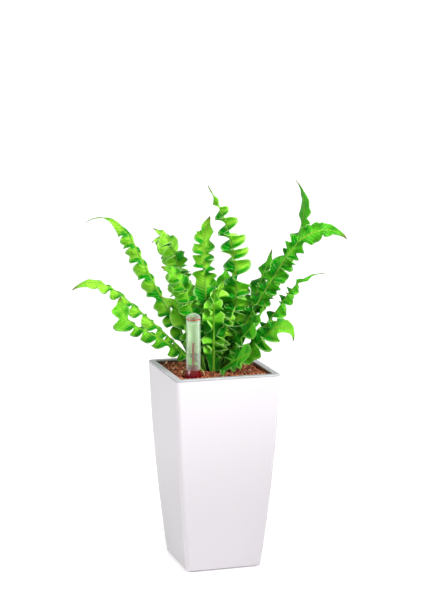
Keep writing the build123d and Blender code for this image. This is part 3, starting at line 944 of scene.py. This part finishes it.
def finish_blade():
    """Adds thickness and the midrib to the laid blade, and ends the tree."""
    tree, given, line, sheet = blade_tree()
    upper = add(tree, "GeometryNodeExtrudeMesh", {"Mesh": sheet, "Offset Scale": given["Thickness"],
                "Individual": False}, mode="FACES")
    lower = add(tree, "GeometryNodeFlipFaces", {"Mesh": sheet})
    both = add(tree, "GeometryNodeJoinGeometry", {0: lower.outputs[0]})
    tree.links.new(upper.outputs[0], both.inputs[0])
    closed = add(tree, "GeometryNodeMergeByDistance", {"Geometry": both.outputs[0], "Distance": 0.01 * mm})
    smooth = add(tree, "GeometryNodeSetShadeSmooth", {"Geometry": closed.outputs[0]})
    run = add(tree, "GeometryNodeSplineParameter").outputs["Factor"]
    taper = add(tree, "ShaderNodeMapRange", {"Value": run, 3: 1.3 * mm, 4: 0.25 * mm})
    round_section = add(tree, "GeometryNodeCurvePrimitiveCircle", {"Resolution": 8, "Radius": 1.0})
    rib = add(tree, "GeometryNodeCurveToMesh", {"Curve": line, "Profile Curve": round_section.outputs[0],
              "Scale": taper.outputs[0], "Fill Caps": True})
    rib_place = add(tree, "ShaderNodeCombineXYZ", {0: run, 1: 0.5})
    rib_uv = add(tree, "GeometryNodeStoreNamedAttribute", {"Geometry": rib.outputs[0], "Name": "UVMap",
                 "Value": rib_place.outputs[0]}, data_type="FLOAT2", domain="CORNER")
    rib_smooth = add(tree, "GeometryNodeSetShadeSmooth", {"Geometry": rib_uv.outputs[0]})
    whole = add(tree, "GeometryNodeJoinGeometry", {0: smooth.outputs[0]})
    tree.links.new(rib_smooth.outputs[0], whole.inputs[0])
    end_tree(tree, whole.outputs[0], given["Leaf"])
    return tree


crinkled_blade = finish_blade()
print("the blade tree has", len(crinkled_blade.nodes), "nodes")

# %% [markdown]
# A living leaf is bright where light passes through it.  The blade is a waxy surface mixed with a translucent
# one.  Colour follows the leaf itself: a pale midrib, side veins that run out to the margin, and a tip that
# turns yellow and then brown.  Painted light and shade lie over that: lighter crests, and a deep green
# painted into the troughs and folds as shade.

# %% Leaf material
def leaf_material(name, deep, bright, edge_colour, tip_colour):
    """A waxy leaf that lets light through, from a deep green to a bright one, with painted light and shade on
    its waves, its margin and its tip.
    """
    made, tree, shader = start_material(name, Roughness=0.34, IOR=1.45)
    shader.inputs["Specular IOR Level"].default_value = 0.18
    uv = add(tree, "ShaderNodeUVMap", uv_map="UVMap")
    split = add(tree, "ShaderNodeSeparateXYZ", {0: uv.outputs[0]})
    run = split.outputs["X"]
    off = add(tree, "ShaderNodeMath", {0: split.outputs["Y"], 1: 0.5}, operation="SUBTRACT")
    out = add(tree, "ShaderNodeMath", {0: off.outputs[0]}, operation="ABSOLUTE")
    # painted light and shade: each wave is lighter on one flank and darker on the other, with random patches
    # added
    flank = add(tree, "ShaderNodeAttribute", attribute_name="flank")
    place = add(tree, "ShaderNodeTexCoord")
    patch = add(tree, "ShaderNodeTexNoise", {"Vector": place.outputs["Object"], "Scale": 1 / (16 * mm),
                "Detail": 3.0})
    patches_and_painted_light_shade = add(tree, "ShaderNodeMath", {0: patch.outputs[0], 1: 1.2, 2: flank.outputs["Fac"]},
               operation="MULTIPLY_ADD")
    run_patches_and_painted_light_shade = add(tree, "ShaderNodeMath", {0: run, 1: 0.75, 2: patches_and_painted_light_shade.outputs[0]}, operation="MULTIPLY_ADD")
    level = add(tree, "ShaderNodeMapRange", {"Value": run_patches_and_painted_light_shade.outputs[0], 1: 0.72, 2: 1.35})
    green = add(tree, "ShaderNodeMix", {0: level.outputs[0], 6: linear(deep), 7: linear(bright)},
                data_type="RGBA")
    margin = add(tree, "ShaderNodeMapRange", {"Value": out.outputs[0], 1: 0.4, 2: 0.5, 4: 0.6})
    edged = add(tree, "ShaderNodeMix", {0: margin.outputs[0], 6: green.outputs[2], 7: linear(edge_colour)},
                data_type="RGBA")
    # side veins: some fifty along the blade, about three millimetres apart on a long one, broad enough to show
    vein_at = add(tree, "ShaderNodeMath", {0: run, 1: 330.0, 2: 0.0}, operation="MULTIPLY_ADD")
    slant = add(tree, "ShaderNodeMath", {0: out.outputs[0], 1: -26.0, 2: vein_at.outputs[0]},
                operation="MULTIPLY_ADD")
    vein = add(tree, "ShaderNodeMath", {0: slant.outputs[0]}, operation="SINE")
    vein_line = add(tree, "ShaderNodeMapRange", {"Value": vein.outputs[0], 1: 0.55, 2: 1.0, 4: 0.16})
    veined = add(tree, "ShaderNodeMix", {0: vein_line.outputs[0], 6: edged.outputs[2], 7: linear(edge_colour)},
                 data_type="RGBA")
    rib = add(tree, "ShaderNodeMapRange", {"Value": out.outputs[0], 1: 0.055, 2: 0.02, 3: 0.0, 4: 0.75})
    ribbed = add(tree, "ShaderNodeMix", {0: rib.outputs[0], 6: veined.outputs[2], 7: linear("#a8d94a")},
                 data_type="RGBA")
    tip = add(tree, "ShaderNodeMapRange", {"Value": run, 1: 0.95, 2: 0.998})
    tipped = add(tree, "ShaderNodeMix", {0: tip.outputs[0], 6: ribbed.outputs[2], 7: linear(tip_colour)},
                 data_type="RGBA")
    tree.links.new(tipped.outputs[2], shader.inputs["Base Color"])
    bump = add(tree, "ShaderNodeBump", {"Strength": 0.5, "Distance": 0.25 * mm, "Height": vein.outputs[0]})
    tree.links.new(bump.outputs[0], shader.inputs["Normal"])
    # light that has passed through the blade has lost most of its red and blue
    passed = add(tree, "ShaderNodeVectorMath", {0: tipped.outputs[2], 1: (0.4, 1.0, 0.35)},
                 operation="MULTIPLY")
    glow = add(tree, "ShaderNodeBsdfTranslucent", {"Color": passed.outputs[0], "Normal": bump.outputs[0]})
    leafy = add(tree, "ShaderNodeMixShader", {0: 0.42, 1: shader.outputs[0], 2: glow.outputs[0]})
    tree.links.new(leafy.outputs[0], tree.nodes["Material Output"].inputs["Surface"])
    return made


young_leaf = leaf_material("waxy_young_frond", "#00ac00", "#b2f240", "#e6fcb4", "#8a7440")
full_leaf = leaf_material("waxy_full_frond", "#00a000", "#8ee632", "#d2f694", "#8a7440")
old_leaf = leaf_material("waxy_old_frond", "#009402", "#66d828", "#b8ee74", "#8a7440")
young_fronds = (2, 3, 5, 6, 7, 8, 13, 19, 20)
old_fronds = (11, 12, 14, 15, 17, 18, 22, 23)

# %% [markdown]
# Now each row of the plan is grown in one pass: its midrib first, then the blade on it.  A rosette is never
# one green, so each frond has one of three leaf materials: young, full or old.

# %% Grow the fronds
visual_width = 1.72         # the ruffled blade is wider than the plain CAD blade
blade_thickness = 0.35 * mm
for number, plan in enumerate(frond_plan, start=1):
    name = f"frond_{number:02d}"
    *growth, half_width, swing, fold, twist, wave_length, far_half, tip_swell, calm_tip = plan
    curve = midrib(f"midrib_{number:02d}", *growth, twist)
    frond = grow(curve, crinkled_blade, name + "_blade", **{
        "Half Width": half_width * visual_width * mm, "Far Half": far_half, "Tip Swell": tip_swell,
        "Swing": radians(swing), "Fold": radians(fold), "Wave Length": wave_length * mm,
        "Calm Tip": calm_tip, "Thickness": blade_thickness, "Seed": 11.3 * number,
        "Leaf": young_leaf if number in young_fronds else old_leaf if number in old_fronds else full_leaf})
    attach(frond, "planting")
    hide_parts(name)
